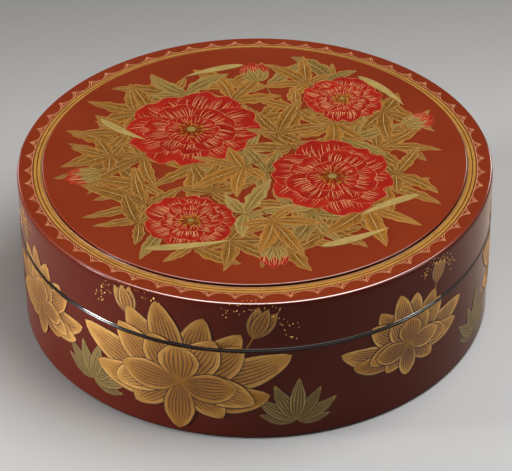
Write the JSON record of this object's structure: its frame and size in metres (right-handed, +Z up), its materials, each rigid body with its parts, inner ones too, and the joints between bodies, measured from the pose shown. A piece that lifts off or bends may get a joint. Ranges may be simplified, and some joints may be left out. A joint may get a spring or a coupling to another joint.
{
  "type": "round lacquer box",
  "caption": "Round flat-topped lacquered box for sweets, with a flush lift-off lid, a raised centre panel and a standing rim inside.",
  "frame": {"origin": "centre of the foot's underside, on the surface that the box stands on", "axes": "+Z up along the box's axis; X and Y lie in that surface, and the box is round, with -Y towards the side that the picture shows in front"},
  "size_m": [0.2606, 0.2606, 0.0912],
  "materials": {
    "red_lacquer": "gloss",
    "black_lacquer": "polished",
    "gold_powder": "satin",
    "green_gold_powder": "satin",
    "vermilion_lacquer": "gloss",
    "cream_line": "satin",
    "dark_line": "satin"
  },
  "bodies": {
    "box": {"foot_band": "black_lacquer", "bottom_board": "black_lacquer", "body_wall_hoop": "red_lacquer", "inner_rim_hoop": "black_lacquer", "body_lip_band": "black_lacquer"},
    "lid": {"lid_lip_band": "black_lacquer", "lid_wall_hoop": "red_lacquer", "lid_top_board": "black_lacquer", "lid_border_ring": "red_lacquer", "lid_centre_panel": "red_lacquer"}
  },
  "joints": [
    {"name": "lid_lift", "type": "slide", "parent": "box", "child": "lid", "axis": [0, 0, 1], "range_m": [0, 0.1]}
  ]
}
